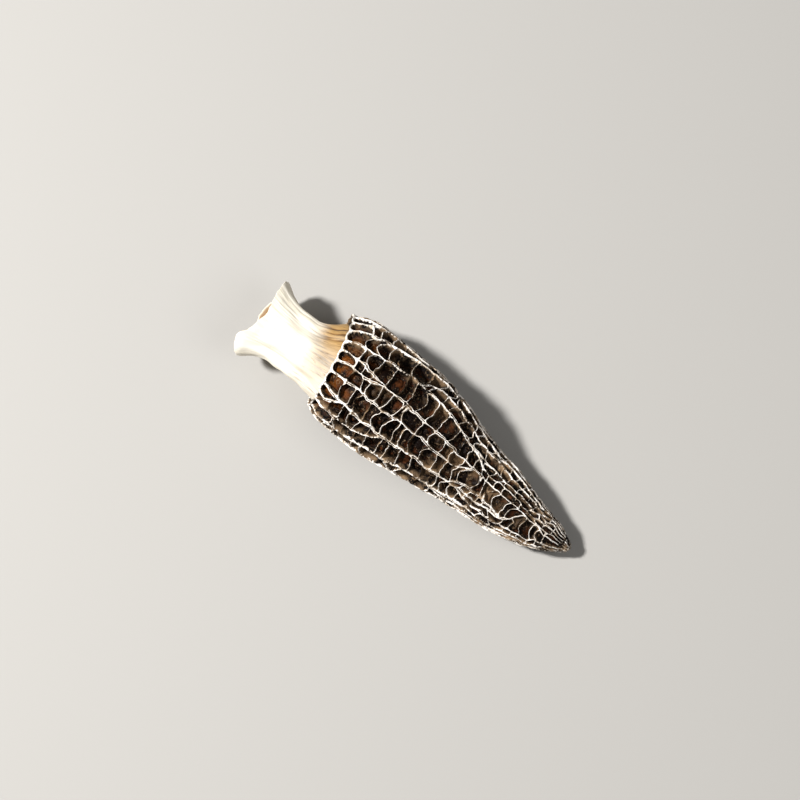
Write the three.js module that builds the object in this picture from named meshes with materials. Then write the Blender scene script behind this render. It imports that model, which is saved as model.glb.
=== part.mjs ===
// A dried black morel lying on its side: a tapered cap covered with a raised net of long ribs and short
// rungs, and a pale, waisted stem cut off at its foot. The hollow of the stem runs on into the cap.
// Millimetres. +X runs from the stem to the tip, +Z is up, and the morel rests on z = 0.
// "along" is the distance from the cap's rim towards the tip, and "turn" is the angle round the axis,
// from 0 at the top through 90 degrees at the -Y side.
import * as THREE from "three";

// Driving dimensions
const CAP_LENGTH = 63.2;
const TIP_RING = 61.3; // where the ribs run together round the tip
const TIP_DROP = 0.9; // how far the very tip lies under the line of the ribs
const ORIGIN_X = 21.6; // from the rim's centre to the middle of the whole morel
const ORIGIN_Y = 0.9;
const ROUNDNESS = 0.9; // height over width of a section of the cap
const RIM_TILT = 2.6; // how far the rim leans towards the tip on the -Y side
const RIM_RISE = 2.3; // and at the top
const RIM_TILT_FADE = 26; // the lean is gone this far along
const JOINT_GAP = 0.3; // between the stem's end and the cap's rim
const RIB_WIDTH = 0.56; // the flat edge of a rib or rung
const WALL_SLOPE = 0.42; // how far a pit's side leans in
const PIT_DEPTH = 2.1; // at the widest part of the cap
const SLIM_DEPTH = 0.65; // how fast pits turn shallow where the cap is slim, as a power
const PIT_BULGE = 0.35; // how far a pit's floor swells up in its middle
const FLESH = 0.9; // under the deepest pit
const RIM_FLESH = 1.2; // more of it where the cap meets the stem
const HOLLOW_END = 48; // where the hollow ends in the cap
const HOLLOW_RINGS = [0, 2.5, 9, 16, 23, 30, 37, 44];
const WIDEST = 12.3; // half the cap's width at its widest
const LUMPS = [0.28, 0.22]; // how far the cap swells and sinks round its axis
const LUMP_LENGTHS = [9, 13]; // how far along they wind round the axis by one radian
const STEM_WALL = 1.2;
const HOLLOW_AT_JOINT = 2.4; // wall of the stem where it meets the cap
const LIP = 0.8; // the wall's thickness at the cut, as a share of STEM_WALL
const FOLDS = [0.3, 0.2]; // depth of the folds that run down the stem
const FOLD_LENGTHS = [14, 11];
const CORNER = 0.9; // how far both sides of the stem flare out at the cut
const FLARE = 13; // the flare starts this far from the rim
const LOBE = 0.9; // how far the lobe on the -Y side swells beyond that
const LOBE_ALONG = -16.3;
const LOBE_TURN = 95;
const LOBE_SIZE = { along: 1.8, turn: 0.56 };
const STEM_TILT_FADE = 9; // the lean of the rim is gone this far down the stem
const STEM_SIDES = 30;
const STEM_RINGS = [0, 0.04, 0.12, 0.22, 0.34, 0.46, 0.58, 0.7, 0.8, 0.88, 0.95, 1]; // from cut to cap
const BORE_RINGS = [1, 0.85, 0.7, 0.5, 0.3, 0.14, 0];

// Profiles: [along, value] at stations, with a smooth curve between them
const CAP_HALF_WIDTH = [
  [0, 10.9], [4, 12.3], [14, 12.3], [21, 11.8], [27, 10.6], [32, 9.5], [37, 8.3],
  [42, 7.5], [46.5, 7], [52, 5.6], [58, 3.8], [61.3, 2.1], [63.2, 1],
];
const CAP_CENTRE_Y = [
  [0, 0.4], [5, 0.6], [14, 0.75], [21, 1.1], [27, 1.2], [32, 0.9], [37, 0.5],
  [42, 0.25], [52, -0.1], [58, 0.6], [63.2, 1.6],
];
// How far the underside would pass below the surface it rests on (negative) or clears it
const CAP_LIFT = [[0, -0.1], [5, -0.4], [42, -0.4], [50, 0.3], [58, 1.3], [63.2, 2.4]];
const STEM_HALF_WIDTH = [
  [-21, 9.2], [-18.5, 8.7], [-14, 7.3], [-9.8, 6.5], [-5.4, 6.6], [-2.4, 7.4], [0, 8.6],
];
const STEM_HALF_HEIGHT = [
  [-21, 7], [-18.5, 6.8], [-14, 6.1], [-9.8, 5.8], [-5.4, 6], [-2.4, 6.7], [0, 7.8],
];
const STEM_CENTRE_Y = [[-21, -0.9], [-14, -1.2], [-9.8, -1.1], [-5.4, -0.8], [0, 0.1]];
const STEM_CENTRE_Z = [[-21, 9.6], [-10, 9.5], [0, 9.5]];
// Where the slanting, slightly ragged cut ends the stem: [degrees round the axis, along]
const CUT = [
  [0, -15.8], [13, -16.1], [35, -16.6], [52, -18.2], [68, -17.8], [90, -16.6],
  [120, -17.4], [156, -18.5], [173, -19.3], [202, -19.8], [226, -18.8], [250, -18.4],
  [280, -18.1], [310, -17.6], [334, -16.8], [358, -15.8], [360, -15.8],
];

// The ribs, in order round the cap: the turn in degrees at the rim, one and two thirds along, and at the
// tip. A rib that joins runs into the rib that many places on at that share of the length, and one that
// forks leaves it there.
const RIBS = [
  { turn: [-68, -73, -66, -66] },
  { turn: [-52, -60, -60, -60], joins: -1, at: 0.13 },
  { turn: [-35, -58, -52, -52] },
  { turn: [-30, -42, -38, -40], forks: +1, from: 0.31 },
  { turn: [-19, -26, -21, -27] },
  { turn: [-12, -12, -10, -13], forks: -1, from: 0.58 },
  { turn: [-8, 2, 1, 2] },
  { turn: [5, 4, 4, 4], joins: -1, at: 0.25 },
  { turn: [18, 20, 22, 22], joins: -2, at: 0.63 },
  { turn: [29, 29, 29, 33], forks: +1, from: 0.56, joins: +1, at: 0.8 },
  { turn: [33, 45, 41, 30], joins: -4, at: 0.87 },
  { turn: [46, 48, 48, 48], joins: -1, at: 0.14 },
  { turn: [59, 58, 58, 58], joins: -2, at: 0.33 },
  { turn: [24, 24, 24, 24], forks: -1, from: 0.9 },
  { turn: [53, 53, 53, 45], forks: -1, from: 0.6 },
  { turn: [80, 72, 65, 65] },
  { turn: [76, 76, 76, 76], forks: -1, from: 0.52 },
  { turn: [102, 97, 89, 88] },
  { turn: [101, 101, 101, 101], forks: -1, from: 0.6 },
  { turn: [117, 121, 114, 112] },
  { turn: [131, 128, 128, 128], joins: -1, at: 0.2 },
  { turn: [147, 145, 139, 134], joins: -2, at: 0.82 },
  { turn: [161, 160, 160, 160], joins: +1, at: 0.16 },
  { turn: [176, 170, 165, 160] },
  { turn: [190, 193, 190, 186], joins: -1, at: 0.7 },
  { turn: [204, 200, 200, 200], joins: -1, at: 0.22 },
  { turn: [218, 217, 213, 210] },
  { turn: [232, 234, 234, 234], joins: +1, at: 0.15 },
  { turn: [247, 241, 239, 236], joins: -2, at: 0.79 },
  { turn: [261, 258, 258, 258], joins: +1, at: 0.27 },
  { turn: [276, 266, 264, 260] },
  { turn: [279, 279, 279, 277], forks: -1, from: 0.47 },
];
const RIB_STATIONS = [0, 1 / 3, 2 / 3, 1];
const JOIN_RUN = 0.09; // share of the length over which a rib swings into its neighbour
const RIB_WAVE = 0.14; // how far a rib wavers to either side
const WAVE_LENGTHS = [[9, 13], [5, 7]]; // of a long wave and a short one
const SHORT_WAVE = 0.6; // height of the short wave as a share of the long one's
const FIRST_RUNG = [3.8, 7.2]; // length of the slots along the rim
const FORKED_SLOT = 0.6; // the first pit between forked ribs is this much shorter
const RUNG_STEP = [[0, 2.5], [20, 2.6], [40, 2.3], [58, 1.8]];
const RUNG_SPREAD = [0.72, 1.34]; // shares of RUNG_STEP that a step may be
const RUNG_SLANT = 0.4;
const SNAP = 0.7; // rungs that meet a rib from both sides closer than this meet at one point
const SHORTEST_CELL = 1.5;
const DEPTH_SPREAD = [0.86, 1.08]; // shares of PIT_DEPTH that a pit may have
const EDGE_INSET = 0.35; // an edge reaches at most this share of the way to a pit's middle
const FLOOR_INSET = 0.7;
const SEED = 20240611;

const COLOURS = {
  pit: new THREE.Color("#2a1c13"),
  edge: new THREE.Color("#b9a78f"),
  flesh: new THREE.Color("#efe2c6"),
};

const { sin, cos, PI, min, max, abs, hypot } = Math;
const radians = (degrees) => (degrees * PI) / 180;
const mix = (a, b, t) => a + (b - a) * t;
const smooth = (t) => {
  const c = min(1, max(0, t));
  return c * c * (3 - 2 * c);
};

// Seeded draws, so that every build gives the same morel.
function makeRandom(seed) {
  let state = seed;
  return (low, high) => {
    state = (state * 16807) % 2147483647;
    return low + ((high - low) * state) / 2147483647;
  };
}

// A smooth curve through [position, value] stations, with the slope at each taken from its neighbours.
function profile(stations, at) {
  const last = stations.length - 1;
  const p = min(max(at, stations[0][0]), stations[last][0]);
  let i = 0;
  while (i < last - 1 && p > stations[i + 1][0]) i++;
  const slope = (k) => {
    const [x0, y0] = stations[max(0, k - 1)];
    const [x1, y1] = stations[min(last, k + 1)];
    return (y1 - y0) / (x1 - x0);
  };
  const [x0, y0] = stations[i];
  const [x1, y1] = stations[i + 1];
  const step = x1 - x0;
  const t = (p - x0) / step;
  const bend = t * t * (3 - 2 * t);
  return mix(y0, y1, bend) + step * t * (1 - t) * ((1 - t) * slope(i) - t * slope(i + 1));
}

// How far along the slanting rim lies beyond its centre.
const rimLean = (turn) => RIM_TILT * sin(turn) + RIM_RISE * cos(turn);

const capCentreZ = (along) => profile(CAP_HALF_WIDTH, along) * ROUNDNESS + profile(CAP_LIFT, along);

// A point of the cap, "depth" under the edges of its ribs.
function capPoint(turn, along, depth) {
  const [first, second] = LUMP_LENGTHS;
  const lump = LUMPS[0] * sin(3 * turn + along / first) + LUMPS[1] * sin(2 * turn - along / second + 1);
  const width = profile(CAP_HALF_WIDTH, along);
  const swell = min(1, width / WIDEST) * lump;
  const lean = rimLean(turn) * max(0, 1 - along / RIM_TILT_FADE) ** 2;
  return new THREE.Vector3(
    along + lean,
    profile(CAP_CENTRE_Y, along) - (width + swell - depth) * sin(turn),
    max(0, capCentreZ(along) + (width * ROUNDNESS + swell - depth) * cos(turn)),
  );
}

// Depth of a pit's floor: shallower where the cap is slim.
const pitDepth = (along) => PIT_DEPTH * (profile(CAP_HALF_WIDTH, along) / WIDEST) ** SLIM_DEPTH;

// The rib that rib i has become at a share of the length, once joins and forks are followed.
function become(i, share) {
  const rib = RIBS[i];
  if (rib.joins && share >= rib.at) return become(i + rib.joins, share);
  if (rib.forks && share <= rib.from) return become(i + rib.forks, share);
  return i;
}

// The ribs as paths on the cap, and the points where rungs meet them
class Net {
  constructor(random) {
    this.random = random;
    this.waves = RIBS.map(() => WAVE_LENGTHS.flatMap((length) => [random(0, 2 * PI), random(...length)]));
    this.knots = RIBS.map(() => []); // shares of the length, for each rib
    this.points = []; // { turn, along }
    RIBS.forEach((rib, i) => [0, rib.from, rib.at, 1].forEach((share) => share >= 0 && this.tie(i, share)));
  }

  turnOf(i, share) {
    const rib = RIBS[i];
    const along = share * TIP_RING;
    const [p1, l1, p2, l2] = this.waves[i];
    const wave = sin(p1 + (2 * PI * along) / l1) + SHORT_WAVE * sin(p2 + (2 * PI * along) / l2);
    const stations = RIB_STATIONS.map((s, k) => [s, radians(rib.turn[k])]);
    let turn = profile(stations, share);
    turn += (RIB_WAVE * wave * smooth(share * 8)) / (profile(CAP_HALF_WIDTH, along) + 3);
    const swing = (other, weight) => (weight > 0 ? mix(turn, this.turnOf(i + other, share), weight) : turn);
    if (rib.joins) turn = swing(rib.joins, smooth((share - rib.at) / JOIN_RUN + 1));
    if (rib.forks) turn = swing(rib.forks, smooth((rib.from - share) / JOIN_RUN + 1));
    return turn;
  }

  // The knot on rib i at a share of the length: a near one if there is one, or a new one.
  tie(i, share) {
    const rib = become(i, share);
    const near = this.knots[rib].find((k) => abs(k.share - share) * TIP_RING < SNAP);
    if (near) return near;
    const knot = { rib, share, index: this.points.length };
    this.points.push({ turn: this.turnOf(rib, share), along: share * TIP_RING });
    this.knots[rib].push(knot);
    this.knots[rib].sort((a, b) => a.share - b.share);
    return knot;
  }

  // The knots that rib i's path passes from one share of the length to another.
  between(i, from, to) {
    return this.knots
      .flat()
      .filter((k) => k.share >= from && k.share <= to && become(i, k.share) === k.rib)
      .sort((a, b) => a.share - b.share);
  }
}

// Where the gap between rib i and the next one opens and closes, as shares of the length.
function gapRange(i) {
  const next = (i + 1) % RIBS.length;
  const shares = [0, 1, ...RIBS.flatMap((rib) => [rib.from, rib.at])].filter((share) => share >= 0).sort();
  const open = (low, high) => high > low && become(i, (low + high) / 2) !== become(next, (low + high) / 2);
  const runs = shares.slice(1).map((high, n) => [shares[n], high]);
  const opened = runs.filter(([low, high]) => open(low, high)).flat();
  return [min(...opened), max(...opened)];
}

// The rungs of one gap: pairs of knots, from its start to its end.
function gapRungs(net, i) {
  const next = (i + 1) % RIBS.length;
  const [opens, closes] = gapRange(i);
  const rungs = [[net.tie(i, opens), net.tie(next, opens)]];
  const end = closes * TIP_RING;
  let along = opens * TIP_RING + net.random(...FIRST_RUNG) * (opens > 0 ? FORKED_SLOT : 1);
  while (along < end - SHORTEST_CELL * (closes < 1 ? 2 : 1)) {
    const slant = net.random(-RUNG_SLANT, RUNG_SLANT);
    const left = net.tie(i, (along - slant) / TIP_RING);
    const right = net.tie(next, (along + slant) / TIP_RING);
    rungs.push([left, right]);
    along += profile(RUNG_STEP, along) * net.random(...RUNG_SPREAD);
  }
  rungs.push([net.tie(i, closes), net.tie(next, closes)]);
  return rungs;
}

// The corners of each pit, in order round it, as knots.
function gapCells(net, i, rungs) {
  const next = (i + 1) % RIBS.length;
  const cells = [];
  for (let k = 0; k + 1 < rungs.length; k++) {
    const [low, high] = [rungs[k], rungs[k + 1]];
    const right = net.between(next, low[1].share, high[1].share);
    const left = net.between(i, low[0].share, high[0].share).reverse();
    const loop = [...right, ...left].filter((knot, n, all) => all.indexOf(knot) === n);
    cells.push(loop);
  }
  return cells;
}

// Collects points and triangles of one closed surface.
class Surface {
  constructor() {
    this.positions = [];
    this.colours = [];
    this.triangles = [];
  }

  point(p, colour) {
    this.positions.push(p.x - ORIGIN_X, p.y - ORIGIN_Y, p.z);
    this.colours.push(colour.r, colour.g, colour.b);
    return this.positions.length / 3 - 1;
  }

  // A band of triangles between two closed rings of as many points.
  band(outer, inner) {
    outer.forEach((a, n) => {
      const m = (n + 1) % outer.length;
      this.triangles.push(a, outer[m], inner[m], a, inner[m], inner[n]);
    });
  }

  fan(ring, centre) {
    ring.forEach((a, n) => this.triangles.push(a, ring[(n + 1) % ring.length], centre));
  }

  geometry() {
    const made = new THREE.BufferGeometry();
    made.setAttribute("position", new THREE.Float32BufferAttribute(this.positions, 3));
    made.setAttribute("color", new THREE.Float32BufferAttribute(this.colours, 3));
    made.setIndex(this.triangles);
    made.computeVertexNormals();
    return made;
  }
}

// One pit: a flat edge inside its ribs and rungs, leaning sides, and a swollen floor.
function addPit(surface, corners, cell, random) {
  const radius = profile(CAP_HALF_WIDTH, cell[0].along);
  const flat = cell.map(({ turn, along }) => new THREE.Vector2(turn * radius, along));
  const middle = flat.reduce((sum, p) => sum.add(p), new THREE.Vector2()).divideScalar(flat.length);
  const reach = (axis) => max(...flat.map((p) => abs(p[axis] - middle[axis])));
  const spine = max(0, reach("y") - reach("x"));
  const depth = pitDepth(middle.y) * random(...DEPTH_SPREAD);
  const inset = (p, n, distance, most) => {
    const target = new THREE.Vector2(middle.x, min(middle.y + spine, max(middle.y - spine, p.y)));
    const before = flat[(n + flat.length - 1) % flat.length].clone().sub(p);
    const after = flat[(n + 1) % flat.length].clone().sub(p);
    const corner = max(0.5, sin(before.angleTo(after) / 2));
    const share = min(most, distance / corner / target.distanceTo(p));
    return p.clone().lerp(target, share);
  };
  const lift = (p, down, colour) => surface.point(capPoint(p.x / radius, p.y, down), colour);
  const edge = flat.map((p, n) => lift(inset(p, n, RIB_WIDTH / 2, EDGE_INSET), 0, COLOURS.edge));
  const foot = RIB_WIDTH / 2 + WALL_SLOPE;
  const floor = flat.map((p, n) => lift(inset(p, n, foot, FLOOR_INSET), depth, COLOURS.pit));
  surface.band(corners, edge);
  surface.band(edge, floor);
  surface.fan(floor, lift(middle, depth - PIT_BULGE, COLOURS.pit));
}

// The cap: its net of pits outside, closed round the tip, and the hollow inside, open at the rim.
function capGeometry() {
  const random = makeRandom(SEED);
  const net = new Net(random);
  const gaps = RIBS.map((_, i) => gapRungs(net, i));
  const surface = new Surface();
  const crest = net.points.map(({ turn, along }) => surface.point(capPoint(turn, along, 0), COLOURS.edge));
  gaps.forEach((rungs, i) => {
    for (const loop of gapCells(net, i, rungs)) {
      const base = net.points[loop[0].index].turn;
      // Turns are brought to the same side of the seam as the pit's first corner.
      const cell = loop.map(({ index }) => {
        const { turn, along } = net.points[index];
        return { turn: turn - 2 * PI * Math.round((turn - base) / (2 * PI)), along };
      });
      addPit(surface, loop.map(({ index }) => crest[index]), cell, random);
    }
  });
  const ringAt = (share) => {
    const knots = net.knots.flat().filter((k) => k.share === share);
    return knots.sort((a, b) => a.rib - b.rib);
  };
  const tip = ringAt(1).map((k) => crest[k.index]);
  surface.fan(tip, surface.point(capPoint(0, CAP_LENGTH, TIP_DROP), COLOURS.edge));
  const rim = ringAt(0).reverse();
  addHollow(surface, rim.map((k) => crest[k.index]), rim.map((k) => net.points[k.index].turn));
  return surface.geometry();
}

// The inside of the cap, from its rim to a blind end short of the tip.
function addHollow(surface, rim, turns) {
  const under = (along) => pitDepth(along) * 1.1 + FLESH + RIM_FLESH * smooth(1 - along / 6);
  let ring = rim;
  for (const along of HOLLOW_RINGS) {
    const next = turns.map((turn) => surface.point(capPoint(turn, along, under(along)), COLOURS.flesh));
    surface.band(ring, next);
    ring = next;
  }
  const end = new THREE.Vector3(HOLLOW_END, profile(CAP_CENTRE_Y, HOLLOW_END), capCentreZ(HOLLOW_END));
  surface.fan(ring, surface.point(end, COLOURS.flesh));
}

// A point of the stem, "depth" under its skin. Long folds run down it and fade at the cap.
function stemPoint(turn, along, depth) {
  const fade = smooth(-along / 5);
  const wind = FOLD_LENGTHS.map((length) => along / length);
  const folds = FOLDS[0] * sin(5 * turn + 0.6 + wind[0]) + FOLDS[1] * sin(8 * turn + 2.1 - wind[1]);
  const corner = CORNER * smooth((-along - FLARE) / 5) * abs(sin(turn)) ** 3;
  const lobeAlong = (along - LOBE_ALONG) / LOBE_SIZE.along;
  const lobeTurn = (turn - radians(LOBE_TURN)) / LOBE_SIZE.turn;
  const lobe = LOBE * Math.exp(-(lobeAlong ** 2) - lobeTurn ** 2);
  const out = fade * folds + corner + lobe - depth;
  const lean = rimLean(turn) * smooth(1 + along / STEM_TILT_FADE);
  return new THREE.Vector3(
    along + lean - JOINT_GAP,
    profile(STEM_CENTRE_Y, along) - (profile(STEM_HALF_WIDTH, along) + out) * sin(turn),
    profile(STEM_CENTRE_Z, along) + (profile(STEM_HALF_HEIGHT, along) + out) * cos(turn),
  );
}

// The stem: skin, cut edge and bore, as rings joined in bands.
function stemGeometry() {
  const surface = new Surface();
  const cutAt = (turn) => profile(CUT, (turn * 180) / PI);
  const turns = Array.from({ length: STEM_SIDES }, (_, n) => (2 * PI * n) / STEM_SIDES);
  const ring = (share, depth, colour) =>
    turns.map((turn) => surface.point(stemPoint(turn, mix(cutAt(turn), 0, share), depth(share)), colour));
  const skin = () => 0;
  const bore = (share) =>
    mix(STEM_WALL, HOLLOW_AT_JOINT, smooth((share - 0.7) / 0.3)) * mix(LIP, 1, smooth(share * 5));
  const rings = [
    ...STEM_RINGS.map((share) => ring(share, skin, COLOURS.flesh)),
    ...BORE_RINGS.map((share) => ring(share, bore, COLOURS.flesh)),
  ];
  rings.forEach((a, n) => surface.band(a, rings[(n + 1) % rings.length]));
  return surface.geometry();
}

function namedMesh(name, geometry, material) {
  const mesh = new THREE.Mesh(geometry, material);
  mesh.name = name;
  return mesh;
}

const capSkin = new THREE.MeshStandardMaterial({ vertexColors: true, roughness: 0.7, metalness: 0 });
const stemSkin = new THREE.MeshStandardMaterial({ color: "#f1e6cf", roughness: 0.85, metalness: 0 });

const morel = new THREE.Group();
morel.name = "dried_morel";
morel.add(namedMesh("cap", capGeometry(), capSkin));
morel.add(namedMesh("stem", stemGeometry(), stemSkin));

export default morel;
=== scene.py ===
"""Looks of a dried black morel on its side: the cap's net of ribs, rungs and wrinkled pits, and its stem.

Lengths are in millimetres until a mesh is made. "along" is the distance from the cap's rim towards the
tip, and "turn" is the angle round the axis, from 0 at the top through 90 degrees at the -Y side.
"""
from math import cos, pi, radians, sin, tau

import bpy
import numpy as np
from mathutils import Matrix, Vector, noise


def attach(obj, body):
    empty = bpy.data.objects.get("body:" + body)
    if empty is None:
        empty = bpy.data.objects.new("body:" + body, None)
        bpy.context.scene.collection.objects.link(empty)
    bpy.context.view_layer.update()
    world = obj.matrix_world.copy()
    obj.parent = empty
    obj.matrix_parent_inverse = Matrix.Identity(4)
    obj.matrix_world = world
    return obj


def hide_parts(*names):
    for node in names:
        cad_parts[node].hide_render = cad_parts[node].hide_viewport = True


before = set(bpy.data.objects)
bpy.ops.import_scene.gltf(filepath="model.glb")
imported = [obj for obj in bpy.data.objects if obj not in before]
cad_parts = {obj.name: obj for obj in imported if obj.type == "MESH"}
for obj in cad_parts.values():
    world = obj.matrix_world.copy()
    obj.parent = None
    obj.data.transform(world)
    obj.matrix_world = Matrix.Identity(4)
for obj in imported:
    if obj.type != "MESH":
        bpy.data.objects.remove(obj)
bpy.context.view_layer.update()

MM = 0.001

# Sizes of the solids, which the skins follow
CAP_LENGTH = 63.2
TIP_RING = 61.3  # where the ribs run together round the tip
TIP_DROP = 0.9  # how far the very tip lies under the line of the ribs
ORIGIN_X = 21.6  # from the rim's centre to the middle of the whole morel
ORIGIN_Y = 0.9
ROUNDNESS = 0.9  # height over width of a section of the cap
RIM_TILT = 2.6  # how far the rim leans towards the tip on the -Y side
RIM_RISE = 2.3  # and at the top
RIM_TILT_FADE = 26  # the lean is gone this far along
PIT_DEPTH = 2.1  # at the widest part of the cap
SLIM_DEPTH = 0.65  # how fast pits turn shallow where the cap is slim, as a power
FLESH = 0.9  # under the deepest pit
RIM_FLESH = 1.2  # more of it where the cap meets the stem
HOLLOW_END = 48  # where the hollow ends in the cap
HOLLOW_RINGS = (0, 1.2, 2.5, 5, 9, 12, 16, 20, 23, 30, 37, 44)
WIDEST = 12.3  # half the cap's width at its widest
LUMPS = (0.28, 0.22)  # how far the cap swells and sinks round its axis
LUMP_LENGTHS = (9, 13)  # how far along they wind round the axis by one radian
STEM_WALL = 1.2
HOLLOW_AT_JOINT = 2.4  # wall of the stem where it meets the cap
FOLDS = (0.3, 0.2)  # depth of the folds that run down the stem
FOLD_LENGTHS = (14, 11)
CORNER = 0.9  # how far both sides of the stem flare out at the cut
FLARE = 13  # the flare starts this far from the rim
LOBE = 0.9  # how far the lobe on the -Y side swells beyond that
LOBE_ALONG, LOBE_LENGTH = -16.3, 1.8
LOBE_TURN, LOBE_WIDTH = 95, 0.56  # in degrees, and in radians
STEM_TILT_FADE = 9  # the lean of the rim is gone this far down the stem
CAP_HALF_WIDTH = [
    (0, 10.9), (4, 12.3), (14, 12.3), (21, 11.8), (27, 10.6), (32, 9.5), (37, 8.3),
    (42, 7.5), (46.5, 7), (52, 5.6), (58, 3.8), (61.3, 2.1), (63.2, 1),
]
CAP_CENTRE_Y = [
    (0, 0.4), (5, 0.6), (14, 0.75), (21, 1.1), (27, 1.2), (32, 0.9), (37, 0.5),
    (42, 0.25), (52, -0.1), (58, 0.6), (63.2, 1.6),
]
CAP_LIFT = [(0, -0.1), (5, -0.4), (42, -0.4), (50, 0.3), (58, 1.3), (63.2, 2.4)]
STEM_HALF_WIDTH = [
    (-21, 9.2), (-18.5, 8.7), (-14, 7.3), (-9.8, 6.5), (-5.4, 6.6), (-2.4, 7.4), (0, 8.6),
]
STEM_HALF_HEIGHT = [
    (-21, 7), (-18.5, 6.8), (-14, 6.1), (-9.8, 5.8), (-5.4, 6), (-2.4, 6.7), (0, 7.8),
]
STEM_CENTRE_Y = [(-21, -0.9), (-14, -1.2), (-9.8, -1.1), (-5.4, -0.8), (0, 0.1)]
STEM_CENTRE_Z = [(-21, 9.6), (-10, 9.5), (0, 9.5)]
# Where the cut ends the stem: (degrees round the axis, along)
CUT = [
    (0, -15.8), (13, -16.1), (35, -16.6), (52, -18.2), (68, -17.8), (90, -16.6),
    (120, -17.4), (156, -18.5), (173, -19.3), (202, -19.8), (226, -18.8), (250, -18.4),
    (280, -18.1), (310, -17.6), (334, -16.8), (358, -15.8), (360, -15.8),
]

# The ribs, in order round the cap: the turn in degrees at the rim, one and two thirds along, and at the
# tip. A rib that joins runs into the rib that many places on at that share of the length, and one that
# forks leaves it there.
RIBS = [
    {"turn": (-68, -73, -66, -66)},
    {"turn": (-52, -60, -60, -60), "joins": -1, "at": 0.13},
    {"turn": (-35, -58, -52, -52)},
    {"turn": (-30, -42, -38, -40), "forks": +1, "from": 0.31},
    {"turn": (-19, -26, -21, -27)},
    {"turn": (-12, -12, -10, -13), "forks": -1, "from": 0.58},
    {"turn": (-8, 2, 1, 2)},
    {"turn": (5, 4, 4, 4), "joins": -1, "at": 0.25},
    {"turn": (18, 20, 22, 22), "joins": -2, "at": 0.63},
    {"turn": (29, 29, 29, 33), "forks": +1, "from": 0.56, "joins": +1, "at": 0.8},
    {"turn": (33, 45, 41, 30), "joins": -4, "at": 0.87},
    {"turn": (46, 48, 48, 48), "joins": -1, "at": 0.14},
    {"turn": (59, 58, 58, 58), "joins": -2, "at": 0.33},
    {"turn": (24, 24, 24, 24), "forks": -1, "from": 0.9},
    {"turn": (53, 53, 53, 45), "forks": -1, "from": 0.6},
    {"turn": (80, 72, 65, 65)},
    {"turn": (76, 76, 76, 76), "forks": -1, "from": 0.52},
    {"turn": (102, 97, 89, 88)},
    {"turn": (101, 101, 101, 101), "forks": -1, "from": 0.6},
    {"turn": (117, 121, 114, 112)},
    {"turn": (131, 128, 128, 128), "joins": -1, "at": 0.2},
    {"turn": (147, 145, 139, 134), "joins": -2, "at": 0.82},
    {"turn": (161, 160, 160, 160), "joins": +1, "at": 0.16},
    {"turn": (176, 170, 165, 160)},
    {"turn": (190, 193, 190, 186), "joins": -1, "at": 0.7},
    {"turn": (204, 200, 200, 200), "joins": -1, "at": 0.22},
    {"turn": (218, 217, 213, 210)},
    {"turn": (232, 234, 234, 234), "joins": +1, "at": 0.15},
    {"turn": (247, 241, 239, 236), "joins": -2, "at": 0.79},
    {"turn": (261, 258, 258, 258), "joins": +1, "at": 0.27},
    {"turn": (276, 266, 264, 260)},
    {"turn": (279, 279, 279, 277), "forks": -1, "from": 0.47},
]
RIB_STATIONS = (0, 1 / 3, 2 / 3, 1)
JOIN_RUN = 0.09  # share of the length over which a rib swings into its neighbour
RIB_WAVE = 0.14  # how far a rib wavers to either side
WAVE_LENGTHS = ((9, 13), (5, 7))  # of a long wave and a short one
SHORT_WAVE = 0.6  # height of the short wave as a share of the long one's
FIRST_RUNG = (3.8, 7.2)  # length of the slots along the rim
FORKED_SLOT = 0.6  # the first pit between forked ribs is this much shorter
RUNG_STEP = [(0, 2.5), (20, 2.6), (40, 2.3), (58, 1.8)]
RUNG_SPREAD = (0.72, 1.34)  # shares of RUNG_STEP that a step may be
RUNG_SLANT = 0.4
SNAP = 0.7  # rungs that meet a rib from both sides closer than this meet at one point
SHORTEST_CELL = 1.5
DEPTH_SPREAD = (0.86, 1.08)  # shares of PIT_DEPTH that a pit may have
SEED = 20240611  # of the net
DETAIL_SEED = 771  # of what the skins add to it

# Detail of the skins
NOISE_GAIN = 1.6  # brings noise to about -1 to 1
CHAIN_STEP = 0.42  # between points along a rib or rung
RIB_EDGE = 0.085  # half the width of a rib's pale edge
RUNG_EDGE = 0.048
SLOT_EDGE = 0.18  # half the width of a rib's edge at the rim
SLOT_RUN = 5  # over which that narrows to RIB_EDGE
RIM_EDGE = 0.2  # half the width of the pale band round the rim
RIM_BOW = 0.3  # how far the rim bulges towards the stem at each pit
EDGE_VARIES = (1.3, 0.35)  # length of the stretches over which a width varies, and by what share
SPLIT_LENGTH = 4.5  # of the stretches of a rib where its edge is doubled
SPLIT_EDGE = 0.24  # half the width of a rib there
SPLIT_DEPTH = 0.4  # of the groove between the two edges
PALE_BAND = 0.09  # width of each of the two edges
RUNG_BOW = (-0.16, 0.34)  # how far a rung bows towards the stem, as a share of its length
RUNG_SKEW = 0.25  # how far its bow leans to one end
RUNG_SAG = (0.05, 0.4)  # how far its middle lies below the ribs
LOW_RUNGS = 0.25  # share of the rungs that stay low
LOW_SAG = (0.6, 1.3)
RIB_PALE = (0.85, 1.1)  # how pale an edge is
RUNG_PALE = (0.87, 1.06)
LOW_PALE = (0.6, 0.92)
PALE_SIZE = 2.6  # of the stretches that are paler or darker
TIP_SAG = 0.4  # how far the ring where the ribs end lies below them
TIP_PALE = 0.45
CRINKLE = (0.26, 0.15)  # how far the edges wander, in long and in short kinks
KINK_SIZE = (2.1, 0.8)
TIP_JUMBLE = 0.7  # how much more they wander at the tip
JUMBLE_FROM, JUMBLE_RUN = 44, 13  # where that starts, and over how far it grows
RISE = (0.18, 0.14)  # how far the edges rise and fall, in long and in short swells
RISE_SIZE = (3.5, 0.9)
BLADE_LEAN = 0.3  # how far a rib's foot lies to one side of its edge
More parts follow.
